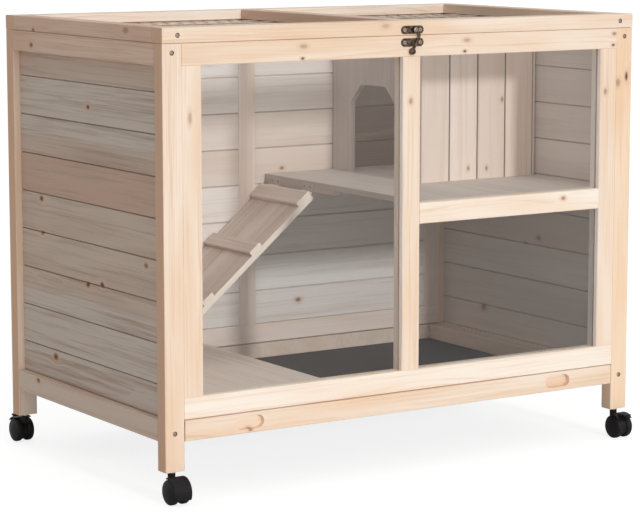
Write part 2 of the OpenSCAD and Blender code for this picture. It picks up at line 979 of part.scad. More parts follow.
module caster_stems() {
    color(zinc)
        for (sx = [-1, 1], sy = [-1, 1])
            translate([sx * caster_x, sy * caster_y, 0]) {
                translate([0, 0, stem_end])
                    cylinder(r = stem_r, h = post_z + stem_in - stem_end);
                translate([0, 0, post_z - collar_t])
                    cylinder(r = stem_r + 2, h = collar_t);
            }
}

// Places a caster piece: the stem's axis at the origin, the wheels trailing along +X
module at_caster(c) {
    translate([c[0] * caster_x, c[1] * caster_y, 0])
        rotate([0, 0, c[2]])
            children();
}

// Turns a piece drawn round Z so that it lies round the axle, with its X along the trail
module at_axle() {
    translate([trail, 0, wheel_r])
        rotate([90, 0, 0])
            children();
}

// Section of the hood: a solid half disc with rounded outer corners
module hood_section(half, r) {
    translate([0, -half])
        square([r - hood_round, 2 * half]);
    translate([0, -half + hood_round])
        square([r, 2 * (half - hood_round)]);
    for (side = [-1, 1])
        translate([r - hood_round, side * (half - hood_round)])
            circle(r = hood_round);
}

// Places a brake lever piece at its pivot: X away from the axle, Y up along the hood
module at_lever() {
    at_axle()
        rotate([0, 0, lever_at])
            translate([lever_pivot_r, lever_up, 0])
                children();
}

// Body of a twin-wheel caster: hood, web, bridge and stem boss, with ears for a brake lever
module fork(c, braked) {
    ear_t = 2;
    ear_in = lever_w / 2 + touch;
    low = braked ? hood_low_braked : hood_low;
    color(black)
        at_caster(c)
            difference() {
                union() {
                    at_axle() {
                        rotate([0, 0, low])
                            rotate_extrude(angle = hood_full - low)
                                hood_section(hood_half, hood_r);
                        rotate([0, 0, hood_full - bridge_lap])
                            rotate_extrude(angle = bridge_end - hood_full + bridge_lap)
                                hood_section(bridge_half, hood_r - bridge_drop);
                        translate([0, 0, -web_h])
                            cylinder(r = wheel_r - web_in, h = web_t);
                    }
                    translate([0, 0, stem_end])
                        cylinder(r = boss_r, h = boss_top - stem_end);
                    if (braked)
                        at_lever()
                            for (side = [0, 1])
                                mirror([0, 0, side])
                                    translate([0, 0, ear_in]) {
                                        cylinder(r = lever_r, h = ear_t);
                                        translate([-lever_pivot_r + hood_in_r, -lever_r, 0])
                                            cube([lever_pivot_r - hood_in_r, 2 * lever_r, ear_t]);
                                    }
                }
                at_axle() {
                    for (side = [0, 1])
                        mirror([0, 0, side])
                            translate([0, 0, web_h])
                                cylinder(r = hood_in_r, h = wheel_out);
                    translate([0, 0, -web_t])
                        cylinder(r = axle_r + running, h = 2 * web_t);
                }
                translate([0, 0, stem_end - touch])
                    cylinder(r = stem_r + running, h = boss_top);
                if (braked)
                    at_lever()
                        translate([0, 0, -lever_w])
                            cylinder(r = lever_pin_r + running, h = 2 * lever_w);
            }
}

module caster_front_left_fork() fork(front_left, false);
module caster_front_right_fork() fork(front_right, true);
module caster_back_left_fork() fork(back_left, true);
module caster_back_right_fork() fork(back_right, false);

// Section of one wheel: a rounded tread, a domed outer face and a blind bore for the axle
module wheel_section() {
    rim = wheel_r - tread_round;
    shoulder = wheel_out - dome_h;
    dome_r = (rim * rim + dome_h * dome_h) / (2 * dome_h);
    difference() {
        union() {
            translate([0, wheel_in])
                square([rim, shoulder - wheel_in]);
            translate([0, wheel_in + tread_round])
                square([wheel_r, shoulder - wheel_in - 2 * tread_round]);
            for (y = [wheel_in + tread_round, shoulder - tread_round])
                translate([rim, y])
                    circle(r = tread_round);
            intersection() {
                translate([0, wheel_out - dome_r])
                    circle(r = dome_r);
                translate([0, shoulder - cut])
                    square([rim, dome_h + 2 * cut]);
            }
        }
        translate([-cut, wheel_in - cut])
            square([axle_r + running + cut, axle_end + touch - wheel_in + cut]);
    }
}

// Both wheels of a caster on their axle
module wheels(c) {
    color(black)
        at_caster(c)
            at_axle() {
                for (side = [0, 1])
                    mirror([0, 0, side])
                        rotate_extrude()
                            wheel_section();
                translate([0, 0, -axle_end])
                    cylinder(r = axle_r, h = 2 * axle_end);
            }
}

module caster_front_left_wheels() wheels(front_left);
module caster_front_right_wheels() wheels(front_right);
module caster_back_left_wheels() wheels(back_left);
module caster_back_right_wheels() wheels(back_right);

// Foot brake that swings down on the hood
module lever(c) {
    tab_t = 2.4;
    bead_r = 1.7;
    pin_out = 2;
    lap = 1;
    color(black)
        at_caster(c)
            at_lever() {
                translate([0, 0, -lever_w / 2])
                    linear_extrude(lever_w) {
                        circle(r = lever_r);
                        rotate(lever_tilt - 90) {
                            translate([0, -tab_t / 2])
                                square([lever_l - bead_r, tab_t]);
                            translate([lever_l - bead_r, 0])
                                circle(r = bead_r);
                        }
                    }
                for (side = [0, 1])
                    mirror([0, 0, side])
                        translate([0, 0, lever_w / 2 - lap])
                            cylinder(r = lever_pin_r, h = lap + pin_out);
            }
}

module caster_front_right_lever() lever(front_right);
module caster_back_left_lever() lever(back_left);

module frame_screws() {
    color(zinc)
        for (sx = [-1, 1], sy = [-1, 1])
            at_post_screws(sx, sy);
}

module lid_screws() {
    color(zinc)
        for (sx = [-1, 1], sy = [-1, 1])
            at_lid_screws(sx, sy);
}

post_front_left();
post_front_right();
post_back_left();
post_back_right();
front_top_rail();
front_bottom_rail();
front_middle_rail();
front_left_stile();
front_middle_stile();
front_right_stile();
left_pane();
upper_pane();
lower_pane();
left_side_rails();
left_side_boards();
right_side_rails();
right_side_boards();
back_top_rail();
back_bottom_rail();
back_stiles();
back_boards();
shelf();
shelf_batten();
shelf_ledgers();
nest_partition();
nest_front_boards();
lower_floor();
tray_front();
tray_walls();
tray_base();
tray_runners();
lid_front_rail();
lid_back_rail();
lid_left_rail();
lid_right_rail();
lid_crossbar();
lid_panels();
lid_hinge_fixed_leaves();
lid_hinge_moving_leaves();
latch_plate();
latch_hook();
latch_keeper();
ramp_board();
ramp_cleats();
ramp_hinge_fixed_leaves();
ramp_hinge_moving_leaves();
caster_stems();
caster_front_left_fork();
caster_front_right_fork();
caster_back_left_fork();
caster_back_right_fork();
caster_front_left_wheels();
caster_front_right_wheels();
caster_back_left_wheels();
caster_back_right_wheels();
caster_front_right_lever();
caster_back_left_lever();
frame_screws();
lid_screws();
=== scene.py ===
import math
import random

import bpy
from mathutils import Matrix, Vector


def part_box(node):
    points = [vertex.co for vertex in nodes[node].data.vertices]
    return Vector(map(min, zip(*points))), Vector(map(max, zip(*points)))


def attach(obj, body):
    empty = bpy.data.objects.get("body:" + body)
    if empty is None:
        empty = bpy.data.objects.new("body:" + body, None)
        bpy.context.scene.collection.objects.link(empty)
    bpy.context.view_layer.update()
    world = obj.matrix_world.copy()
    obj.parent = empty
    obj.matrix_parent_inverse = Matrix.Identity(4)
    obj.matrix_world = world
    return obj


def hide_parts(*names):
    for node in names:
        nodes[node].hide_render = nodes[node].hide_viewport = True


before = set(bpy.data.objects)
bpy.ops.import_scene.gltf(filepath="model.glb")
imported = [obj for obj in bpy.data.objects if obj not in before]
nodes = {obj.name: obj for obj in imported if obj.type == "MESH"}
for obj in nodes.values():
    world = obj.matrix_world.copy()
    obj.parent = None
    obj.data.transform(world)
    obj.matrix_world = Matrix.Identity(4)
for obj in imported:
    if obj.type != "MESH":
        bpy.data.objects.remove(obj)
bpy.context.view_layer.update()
scene = bpy.context.scene
scene.view_settings.view_transform = "Standard"
print("frame loaded:", len(nodes), "nodes")


class Flow:  # a socket that can stand in a sum
    def __init__(self, tree, socket=None):
        self.tree = tree
        self.socket = socket

    def add(self, kind, settings=None, inputs=None, output=0):
        node = self.tree.nodes.new("ShaderNode" + kind)
        for key, value in (settings or {}).items():
            setattr(node, key, value)
        for key, value in (inputs or {}).items():
            if isinstance(value, Flow):
                self.tree.links.new(value.socket, node.inputs[key])
            else:
                node.inputs[key].default_value = value
        return Flow(self.tree, node.outputs[output])

    def other(self, output):  # another output of the same node
        return Flow(self.tree, self.socket.node.outputs[output])

    def math(self, operation, first, second=0.0, clamp=False):
        return self.add("Math", {"operation": operation, "use_clamp": clamp}, {0: first, 1: second})

    def __add__(self, other):
        return self.math("ADD", self, other)

    def __sub__(self, other):
        return self.math("SUBTRACT", self, other)

    def __mul__(self, other):
        return self.math("MULTIPLY", self, other)

    def __truediv__(self, other):
        return self.math("DIVIDE", self, other)

    def __pow__(self, other):
        return self.math("POWER", self, other)

    def __rsub__(self, other):
        return self.math("SUBTRACT", other, self)

    __radd__ = __add__
    __rmul__ = __mul__

    def floor(self):
        return self.math("FLOOR", self)

    def fract(self):
        return self.math("FRACT", self)

    def root(self):
        return self.math("SQRT", self)

    def size(self):  # without its sign
        return self.math("ABSOLUTE", self)

    def over(self, other):  # 1 where this is the larger one
        return self.math("GREATER_THAN", self, other)

    def clamp(self):
        return self.math("ADD", self, 0.0, clamp=True)

    def step(self, low, high):  # soft step from 0 at low to 1 at high
        return self.add("MapRange", {"interpolation_type": "SMOOTHSTEP"},
                        {"Value": self, "From Min": low, "From Max": high})

    def mix(self, first, second):  # this value blends two colours
        return self.add("Mix", {"data_type": "RGBA"}, {0: self, 6: first, 7: second}, 2)

    def noise(self, scale, detail):  # this place in an even noise
        return self.add("TexNoise", inputs={"Vector": self, "Scale": scale, "Detail": detail})

    def dice(self, output):  # one throw for each whole number
        return self.add("TexWhiteNoise", {"noise_dimensions": "1D"}, {"W": self}, output)

    def bump(self, strength, distance):  # this height as a normal
        return self.add("Bump", inputs={"Strength": strength, "Distance": distance, "Height": self})


def tint(red, green, blue):  # a colour as it is seen on a screen, made linear
    parts = [c / 255 for c in (red, green, blue)]
    return tuple(c / 12.92 if c <= 0.04045 else ((c + 0.055) / 1.055) ** 2.4 for c in parts) + (1,)


def startMaterial(name, **constants):
    material = bpy.data.materials.new(name)
    material.use_nodes = True
    tree = material.node_tree
    shader = tree.nodes["Principled BSDF"]
    for key, value in constants.items():
        shader.inputs[key.replace("_", " ")].default_value = value
    place = Flow(tree).add("TexCoord", output="Object")
    return material, shader, place


def feed(shader, socket, flow):
    flow.tree.links.new(flow.socket, shader.inputs[socket])


def dress(material, *names):  # puts a material on CAD nodes
    for name in names:
        slots = nodes[name].data.materials
        slots.clear()
        slots.append(material)


def wood(pale, late, drift):  # early wood, late wood, and what the early wood drifts to
    return {"pale": tint(*pale), "late": tint(*late), "drift": tint(*drift)}


# fir: growth rings round a pith beside the piece, fibres along it, knots through it
firTones = {
    "fresh": wood((248, 229, 210), (228, 188, 151), (242, 212, 183)),
    # heart is darker fir, put on pieces seen mostly from their shaded left side and on the lid's crossbar:
    # partly the wood's own tone, partly painted shade
    "heart": wood((232, 202, 180), (198, 158, 128), (222, 185, 160)),
    "side": wood((215, 195, 178), (181, 154, 134), (202, 177, 159)),
    "back": wood((240, 227, 217), (219, 200, 186), (232, 215, 203)),
    "inside": wood((243, 234, 227), (224, 210, 199), (236, 223, 213)),
    "shade": wood((226, 217, 209), (205, 193, 183), (217, 206, 197)),
    "blush": wood((253, 238, 227), (234, 208, 191), (246, 226, 212)),
    "tray": wood((240, 220, 205), (214, 190, 172), (229, 207, 190)),
    "floor": wood((255, 244, 234), (232, 208, 192), (250, 235, 224)),
    "honey": wood((250, 225, 198), (230, 184, 144), (244, 208, 172)),
    "cream": wood((254, 241, 226), (236, 200, 166), (249, 226, 203)),
    "wall": wood((236, 228, 221), (214, 204, 196), (227, 217, 210)),
    "screen": wood((219, 212, 209), (199, 189, 184), (211, 202, 198)),
    "ramp": wood((233, 217, 207), (188, 168, 152), (219, 202, 190)),
}
patchTones = {  # wood of another colour on single boards, and painted light and shade on one side of some pieces
    # rim is painted light; flank, ledge and dim are painted shade; dusk is greyer wood and partly painted shade;
    # ash is a board colour and, on the stiles' left faces, painted light; tan, rosy and grey are wood colours
    "rim": tint(255, 241, 228), "flank": tint(221, 180, 149), "dusk": tint(222, 204, 188),
    "ledge": tint(194, 184, 178), "dim": tint(140, 129, 122), "tan": tint(222, 196, 174),
    "rosy": tint(206, 171, 149), "grey": tint(216, 206, 194), "ash": tint(250, 245, 241),
}
fir = {
    "ring": 0.0042, "ringWave": 0.0024, "pith": (0.014, 0.05), "sway": 0.02, "boardSway": 0.06,  # metres
    "waveScale": (9, 60, 60), "fibreScale": (11, 520, 520), "streakScale": (3.5, 150, 150),  # along and across
    "bandScale": (1.6, 46, 46), "driftScale": (2.5, 16, 16),
    "detail": 2.0, "detailRough": 0.6, "swayScale": 1.7, "swayFrom": (0, 50),
    "seedJump": 3.7, "bayJump": 31.0, "boardJump": 5.0,  # no two boards are cut from the same place
    "lateEdge": 3.0, "late": 0.12, "year": 0.42, "fibre": 0.8, "streak": 1.35, "band": 1.3,
    "drift": (0.35, 0.7), "boardRings": 0.6, "boardDrift": 0.3,
    "rough": 0.62, "lateRough": 0.16, "fibreRough": 0.2, "gloss": 0.25,
    "bump": 0.12, "bumpDepth": 0.0004, "fibreHeight": 0.6, "lateHeight": 0.4,
}
knotForm = {  # pairs are distances from the knot's middle in radii
    "bend": (0.6, 3.2), "push": 0.75, "heart": (0.5, 1.15), "core": (0.1, 0.6), "halo": (0.7, 2.4),
    "coreGain": 1.8, "coreFrom": 0.8, "haloGain": 0.3, "haloFrom": 0.35,
    "heartTone": tint(148, 112, 88), "coreTone": tint(68, 52, 44), "haloTone": tint(222, 184, 152),
}
sapLine = {"scale": (5, 20, 20), "wave": 0.03, "edge": (-0.004, 0.006)}
seam = {"half": 0.0009, "soft": 0.0012, "tone": tint(110, 90, 78), "share": 0.12, "freeEdge": (0.003, 0.0034)}
screwRing = {"inner": 0.0036, "outer": 0.0042, "tone": tint(132, 98, 74)}


def largest(first, second):
    return second if first is None else first.math("MAXIMUM", first, second)


def firMaterial(name, grain, tone="fresh", seed=1, knots=(), row=None, slope=0.0, screws=(), zones=(),
                contrast=1.0):
    rnd = random.Random(seed)
    material, shader, place = startMaterial(name, Specular_IOR_Level=fir["gloss"])
    if slope:
        place = place.add("VectorRotate", {"rotation_type": "Y_AXIS"}, {"Vector": place, "Angle": slope})
    split = place.add("SeparateXYZ", inputs={"Vector": place})
    axes = {a: split.other(a) for a in "XYZ"}
    crossAxes = [a for a in "XYZ" if a != grain]
    along = axes[grain]
    cross = [axes[a] for a in crossAxes]
    spread = None
    if row:  # a wall of boards: each has its own wood
        stack = axes[row["axis"]] - row["from"]
        index = (stack / row["pitch"]).floor()
        local = stack - (index + 0.5) * row["pitch"]
        cross[crossAxes.index(row["axis"])] = local
        bay = axes[grain].over(0.0) * fir["bayJump"] if row.get("bays") else 0.0
        throw = (index + seed * fir["seedJump"] + bay).dice("Color")
        throw = throw.add("SeparateColor", inputs={"Color": throw})
        spread = [throw.other(i) for i in range(3)]
        along = along + spread[0] * fir["boardJump"]
    heart, core, halo = None, None, None
    for spot in knots:  # the rings bend round each knot
        side = crossAxes.index(spot["axis"])
        off = axes[spot["axis"]] - spot["across"]
        near = (axes[grain] - spot["along"]) * (1 / spot["long"])
        far = (near * near + off * off).root() / spot["radius"]
        cross[side] = cross[side] - off * (1 - far.step(*knotForm["bend"])) * knotForm["push"]
        coreShare = max(0.0, knotForm["coreGain"] * spot["dark"] - knotForm["coreFrom"])
        haloShare = knotForm["haloFrom"] + knotForm["haloGain"] * spot["dark"]
        heart = largest(heart, (1 - far.step(*knotForm["heart"])) * spot["dark"])
        core = largest(core, (1 - far.step(*knotForm["core"])) * coreShare)
        halo = largest(halo, (1 - far.step(*knotForm["halo"])) * haloShare)
    lie = along.add("CombineXYZ", inputs={0: along, 1: cross[0], 2: cross[1]})

    def grained(scale):  # noise drawn out along the grain
        stretched = lie.add("VectorMath", {"operation": "MULTIPLY"}, {0: lie, 1: scale})
        return lie.add("TexNoise", inputs={"Vector": stretched, "Scale": 1.0, "Detail": fir["detail"],
                                           "Roughness": fir["detailRough"]})

    # the pith lies beside the piece and wanders along it
    middle = {a: 0.5 * (lo + hi) for a, lo, hi in zip("XYZ", *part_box(name))}
    pith = [0 if row and row["axis"] == a else middle[a] for a in crossAxes]
    ringAt = None
    for i in range(2):
        wander = along * fir["swayScale"] + rnd.uniform(*fir["swayFrom"])
        sway = along.add("TexNoise", {"noise_dimensions": "1D"},
                         {"W": wander, "Scale": 1.0, "Detail": fir["detail"]})
        aside = rnd.choice((-1, 1)) * rnd.uniform(*fir["pith"])
        apart = cross[i] - pith[i] - aside + (sway - 0.5) * fir["sway"]
        if spread:
            apart = apart + (spread[i + 1] - 0.5) * fir["boardSway"]
        ringAt = apart * apart if ringAt is None else (ringAt + apart * apart).root()
    rings = (ringAt + (grained(fir["waveScale"]) - 0.5) * fir["ringWave"]) / fir["ring"]
    late = rings.fract() ** fir["lateEdge"]
    year = (rings.floor() + seed).dice("Value")
    fibre = grained(fir["fibreScale"]) - 0.5
    streak = grained(fir["streakScale"]) - 0.5
    band = grained(fir["bandScale"]) - 0.5
    dark = late * (fir["late"] + fir["year"] * year) * (fir["boardRings"] if row else 1.0)
    dark = (dark + fibre * fir["fibre"] + streak * fir["streak"] + band * fir["band"]) * contrast

    tones = firTones[tone]
    colour = grained(fir["driftScale"]).step(*fir["drift"]).mix(tones["pale"], tones["drift"])
    if row:
        for word in ("rosy", "grey", "ash", "split", "low"):
            share = None
            for i in [i for i, kind in enumerate(row["kinds"]) if kind == word]:
                here = index.math("COMPARE", index, row["first"] - i)
                share = here if share is None else share + here
            if share is None:
                continue
            if word in ("split", "low"):  # sapwood above or below a wavy line
                above = (local + (grained(sapLine["scale"]) - 0.5) * sapLine["wave"]).step(*sapLine["edge"])
                share = share * (above if word == "split" else 1 - above)
            colour = (share * row["share"]).mix(colour, patchTones[word if word in ("rosy", "ash") else "grey"])
        colour = (spread[2] * fir["boardDrift"]).mix(colour, tones["drift"])
    for zone in zones:  # a tone on one side: painted light and shade on most pieces, another wood on the outside of the right wall
        inside = zone["share"]
        for axis, (low, high) in zone["limits"].items():
            inside = axes[axis].over(low) * (1 - axes[axis].over(high)) * inside
        colour = inside.mix(colour, patchTones[zone["tone"]])
        if zone.get("calm"):  # with weaker streaks
            dark = dark * (1 - inside * zone["calm"])
    colour = dark.clamp().mix(colour, tones["late"])
    if knots:
        colour = halo.mix(colour, knotForm["haloTone"])
        colour = heart.mix(colour, knotForm["heartTone"])
        colour = core.mix(colour, knotForm["coreTone"])
    if row:  # the groove between two boards lies in the dark, but not at the free edge
        edge = 0.5 * row["pitch"] - local.size()
        groove = 1 - edge.step(seam["half"], seam["half"] + seam["soft"])
        groove = groove * stack.size().step(*seam["freeEdge"])
        colour = (groove * row.get("seam", seam["share"])).mix(colour, seam["tone"])
    for x, z in screws:  # crushed fibres round a screw head
        offX, offZ = axes["X"] - x / 1000, axes["Z"] - z / 1000
        far = (offX * offX + offZ * offZ).root()
        colour = (1 - far.step(screwRing["inner"], screwRing["outer"])).mix(colour, screwRing["tone"])
    feed(shader, "Base Color", colour)
    feed(shader, "Roughness", fir["rough"] - fir["lateRough"] * late + fir["fibreRough"] * fibre)
    height = fibre * fir["fibreHeight"] - late * fir["lateHeight"]
    feed(shader, "Normal", height.bump(fir["bump"], fir["bumpDepth"]))
    return material


def knot(along, axis, across, radius, dark=0.6, long=1.5):  # millimetres
    return {"along": along / 1000, "axis": axis, "across": across / 1000, "radius": radius / 1000,
            "dark": dark, "long": long}


screwAt = {"postX": 440.5, "postZ": (110, 694), "lidX": 430.5, "lidZ": 720.25, "face": 267.5}  # millimetres


def postScrews(side):
    return [(side * screwAt["postX"], z) for z in screwAt["postZ"]]


lidScrews = [(side * screwAt["lidX"], screwAt["lidZ"]) for side in (-1, 1)]
# painted shade: the left faces of the posts and the left ends of the lid rails get a darker, browner wood
paintedLeftShade = {"tone": "flank", "share": 1.0, "limits": {"X": (-1, -0.457)}}
rightOutside = {"tone": "tan", "share": 0.75, "limits": {"X": (0.4445, 1)}}
# painted shade: the inside of the back wall in the nest room is darkened
paintedNestShade = {"tone": "dim", "share": 0.62, "limits": {"X": (0.19, 1), "Y": (0, 0.2455), "Z": (0.437, 1)}}
# greyer, calmer wood on the low left rail near the floor, partly painted shade
lowRailGreyAndShade = {"tone": "dusk", "share": 0.75, "calm": 0.4, "limits": {"X": (-1, 0), "Z": (0, 0.2)}}
# painted shade on the free edge of the upper floor and its batten, which face left
paintedShelfEdgeShade = {"tone": "ledge", "share": 0.8, "limits": {"X": (-1, 0.0390)}}
# painted light: the inside face of the lid's back rail is made paler
paintedLidInsideLight = {"tone": "rim", "share": 0.7, "limits": {"Y": (-1, 0.2339)}}
# painted light: the near edge of the ramp board and its cleats is made paler, with weaker streaks
paintedRampEdgeLight = {"tone": "rim", "share": 1.0, "calm": 0.7, "limits": {"Y": (-1, 0.0856)}}
# painted light: the shaded left faces of the middle and right stile are made paler and greyer
paintedMiddleStileLight = {"tone": "ash", "share": 0.6, "limits": {"X": (-1, -0.0166)}}
paintedRightStileLight = {"tone": "ash", "share": 0.9, "calm": 0.5, "limits": {"X": (-1, 0.3899)}}
timber = {
    "post_front_left": {"grain": "Z", "seed": 11, "zones": [paintedLeftShade], "screws": postScrews(-1)},
    "post_front_right": {"grain": "Z", "tone": "honey", "seed": 12, "screws": postScrews(1),
                         "knots": [knot(616, "X", 428, 5, 0.5), knot(626, "X", 446, 3.6, 1.0, 2.4)]},
    "post_back_left": {"grain": "Z", "seed": 13, "zones": [paintedLeftShade], "screws": postScrews(-1)},
    "post_back_right": {"grain": "Z", "seed": 14, "screws": postScrews(1)},
    "front_top_rail": {"grain": "X", "seed": 15, "knots": [
        knot(-205.5, "Z", 696.8, 4, 0.4, 2.0), knot(-207.3, "Z", 678, 2.6, 0.9),
        knot(418, "Z", 699, 3.4, 0.6), knot(416, "Z", 680, 2.6, 0.9),
        knot(108.9, "Z", 697.4, 3.6, 0.4, 2.0), knot(104.8, "Z", 679.4, 2.6, 0.9)]},
    "front_bottom_rail": {"grain": "X", "tone": "cream", "seed": 16},
    "front_middle_rail": {"grain": "X", "tone": "cream", "seed": 17, "knots": [knot(313, "Z", 425.6, 3.6)]},
    "front_left_stile": {"grain": "Z", "seed": 18, "knots": [knot(594.5, "X", -410, 3.4, 0.4, 3.0)]},
    "front_middle_stile": {"grain": "Z", "seed": 19, "zones": [paintedMiddleStileLight],
                           "knots": [knot(603, "X", -1.7, 4, 0.5)]},
    "front_right_stile": {"grain": "Z", "seed": 20, "zones": [paintedRightStileLight],
                          "knots": [knot(601.8, "X", 400.6, 4, 0.5)]},
    # the heart tone on the left side rails is partly painted shade
    "left_side_rails": {"grain": "Y", "tone": "heart", "seed": 21, "contrast": 1.25, "zones": [lowRailGreyAndShade],
                        "knots": [knot(173, "Z", 686, 5, 0.8), knot(166.7, "Z", 124, 5, 0.8)]},
    "right_side_rails": {"grain": "Y", "seed": 22, "knots": [knot(-60, "Z", 690, 4)]},
    "back_top_rail": {"grain": "X", "seed": 23, "knots": [knot(-120, "Z", 690, 4)]},
    "back_bottom_rail": {"grain": "X", "tone": "blush", "seed": 24},
    "back_stiles": {"grain": "Z", "tone": "blush", "seed": 25},
    "lid_front_rail": {"grain": "X", "seed": 26, "zones": [paintedLeftShade], "screws": lidScrews,
                       "knots": [knot(-51, "Z", 724.4, 4, 0.3, 2.0)]},
    "lid_back_rail": {"grain": "X", "seed": 27, "zones": [paintedLeftShade, paintedLidInsideLight], "screws": lidScrews},
    # the heart tone on the lid's left rail is partly painted shade
    "lid_left_rail": {"grain": "Y", "tone": "heart", "seed": 28,
                      "knots": [knot(165, "Z", 711, 4, 0.8), knot(-154, "Z", 724, 6, 0.5, 1.8)]},
    "lid_right_rail": {"grain": "Y", "seed": 29},
    # the heart tone on the lid's crossbar is partly painted shade on its shaded left face
    "lid_crossbar": {"grain": "Y", "tone": "heart", "seed": 30},
    "tray_front": {"grain": "X", "seed": 31, "knots": [knot(-305, "Z", 101, 3)]},
}
sideKinds = ["plain", "grey", "split", "rosy", "plain", "plain", "low", "grey", "grey"]
sideRow = {"axis": "Z", "from": 0.6325, "pitch": 0.0645, "first": 0}
walls = {
    "left_side_boards": {"grain": "Y", "tone": "side", "seed": 41, "contrast": 1.8,
                         "row": {**sideRow, "kinds": sideKinds, "share": 0.85},
                         "knots": [knot(-3, "Z", 595, 4.4, 1.0), knot(168, "Z", 431, 6, 0.9),
                                   knot(166, "Z", 374, 5, 0.8), knot(5, "Z", 307, 5.5, 1.0),
                                   knot(-44, "Z", 313, 5.5, 1.0), knot(-190, "Z", 362, 5.5, 0.7),
                                   knot(124, "Z", 170, 7, 0.9)]},
    "right_side_boards": {"grain": "Y", "tone": "wall", "seed": 42, "zones": [rightOutside],
                          "row": {**sideRow, "kinds": sideKinds[::-1], "share": 0.25},
                          "knots": [knot(60, "Z", 540, 3.6, 0.8), knot(-47, "Z", 324, 5, 0.5),
                                    knot(-9, "Z", 311, 3, 0.4), knot(114, "Z", 176, 5.5, 0.6)]},
    "back_boards": {"grain": "X", "tone": "back", "seed": 43, "zones": [paintedNestShade],
                    "row": {"axis": "Z", "from": 0.612, "pitch": 0.0645, "first": 0, "bays": True, "share": 0.85,
                            "kinds": ["ash", "ash", "plain", "plain", "ash", "ash", "ash", "ash"]},
                    "knots": [knot(108.8, "Z", 200.8, 4.5, 0.7), knot(74.2, "Z", 444.7, 3.6, 0.7),
                              knot(-180, "Z", 330, 4, 0.7)]},
    "nest_front_boards": {"grain": "Z", "tone": "blush", "seed": 44, "contrast": 1.4,
                          "row": {"axis": "X", "from": 0.1835, "pitch": 0.0605, "first": 3, "share": 0.2,
                                  "seam": 0.6, "kinds": ["plain", "rosy", "plain", "grey"]},
                          "knots": [knot(575, "X", 358, 3.4), knot(457, "X", 285, 3), knot(455, "X", 325, 3)]},
    "nest_partition": {"grain": "Z", "tone": "screen", "seed": 45, "contrast": 1.5},
    "shelf": {"grain": "Y", "tone": "shade", "seed": 46, "contrast": 1.5, "zones": [paintedShelfEdgeShade]},
    "shelf_batten": {"grain": "Y", "tone": "shade", "seed": 47, "zones": [paintedShelfEdgeShade]},
    "shelf_ledgers": {"grain": "Y", "tone": "inside", "seed": 48},
    "lower_floor": {"grain": "Y", "tone": "floor", "seed": 49, "contrast": 1.6},
    "tray_walls": {"grain": "Y", "tone": "tray", "seed": 50},
    "tray_runners": {"grain": "Y", "tone": "inside", "seed": 51},
    "ramp_board": {"grain": "Z", "tone": "ramp", "seed": 53, "contrast": 1.2, "zones": [paintedRampEdgeLight],
                   "slope": math.radians(-50.5)},
    "ramp_cleats": {"grain": "Y", "tone": "ramp", "seed": 54, "zones": [paintedRampEdgeLight]},
}
for name, how in {**timber, **walls}.items():
    dress(firMaterial(name, **how), name)
print("fir done:", len(timber) + len(walls), "pieces")

# clear panes: see-through with a faint mirror
pane = {"ior": 1.45, "rough": 0.03, "mirror": 0.55, "tone": (0.985, 0.99, 0.988, 1)}
material = bpy.data.materials.new("clearPane")
material.use_nodes = True
tree = material.node_tree
tree.nodes.remove(tree.nodes["Principled BSDF"])
base = Flow(tree)
clear = base.add("BsdfTransparent", inputs={"Color": pane["tone"]})
gloss = base.add("BsdfGlossy", inputs={"Color": (1, 1, 1, 1), "Roughness": pane["rough"]})
fresnel = base.add("Fresnel", inputs={"IOR": pane["ior"]})
both = base.add("MixShader", inputs={0: fresnel * pane["mirror"], 1: clear, 2: gloss})
tree.links.new(both.socket, tree.nodes["Material Output"].inputs["Surface"])
dress(material, "left_pane", "upper_pane", "lower_pane")

speckEdge = (0.3, 0.7)  # where a speckle turns from the low to the high tone

# dark tray base
tray = {"speck": (700.0, 3.0), "smear": (7.0, 3.0), "low": tint(49, 47, 49), "high": tint(65, 63, 65),
        "rough": 0.6, "bump": (0.15, 0.0004)}
material, shader, place = startMaterial("trayGrey", Roughness=tray["rough"])
speck, smear = place.noise(*tray["speck"]), place.noise(*tray["smear"])
feed(shader, "Base Color", (0.5 * speck + 0.5 * smear).step(*speckEdge).mix(tray["low"], tray["high"]))
feed(shader, "Normal", speck.bump(*tray["bump"]))
dress(material, "tray_base")

# metal and plastic with a fine speckle
finishes = {
    "zincSteel": {"fixed": {"Metallic": 1.0}, "speck": (350.0, 3.0), "low": tint(186, 186, 184),
                  "high": tint(214, 213, 210), "rough": 0.28, "uneven": 0.18,
                  "on": ["lid_hinge_fixed_leaves", "lid_hinge_moving_leaves", "caster_stems"]},
    "meshWire": {"fixed": {"Metallic": 0.25}, "speck": (260.0, 3.0), "low": tint(198, 184, 170),
                 "high": tint(222, 209, 195), "rough": 0.55, "uneven": 0.2, "on": ["lid_panels"]},
    "darkBronze": {"fixed": {"Metallic": 0.9}, "speck": (260.0, 4.0), "edge": (0.38, 0.66),
                   "low": tint(58, 48, 41), "high": tint(128, 107, 88), "rough": 0.3, "uneven": 0.2,
                   "on": ["latch_plate", "latch_hook", "latch_keeper"]},
    "casterBlack": {"fixed": {"Specular_IOR_Level": 0.16}, "speck": (900.0, 2.0), "low": tint(24, 22, 23),
                    "high": tint(34, 32, 32), "rough": 0.36, "uneven": 0.14, "bump": (0.08, 0.0002),
                    "on": [n for n in nodes if n.startswith("caster_") and n != "caster_stems"]},
    "dullScrew": {"fixed": {"Metallic": 0.85}, "speck": (900.0, 3.0), "low": tint(126, 114, 100),
                  "high": tint(166, 154, 138), "rough": 0.36, "uneven": 0.2, "on": []},
    "lightScrew": {"fixed": {"Metallic": 0.85}, "speck": (900.0, 3.0), "low": tint(150, 134, 125),
                   "high": tint(198, 182, 172), "rough": 0.36, "uneven": 0.2, "on": []},
}
made = {}
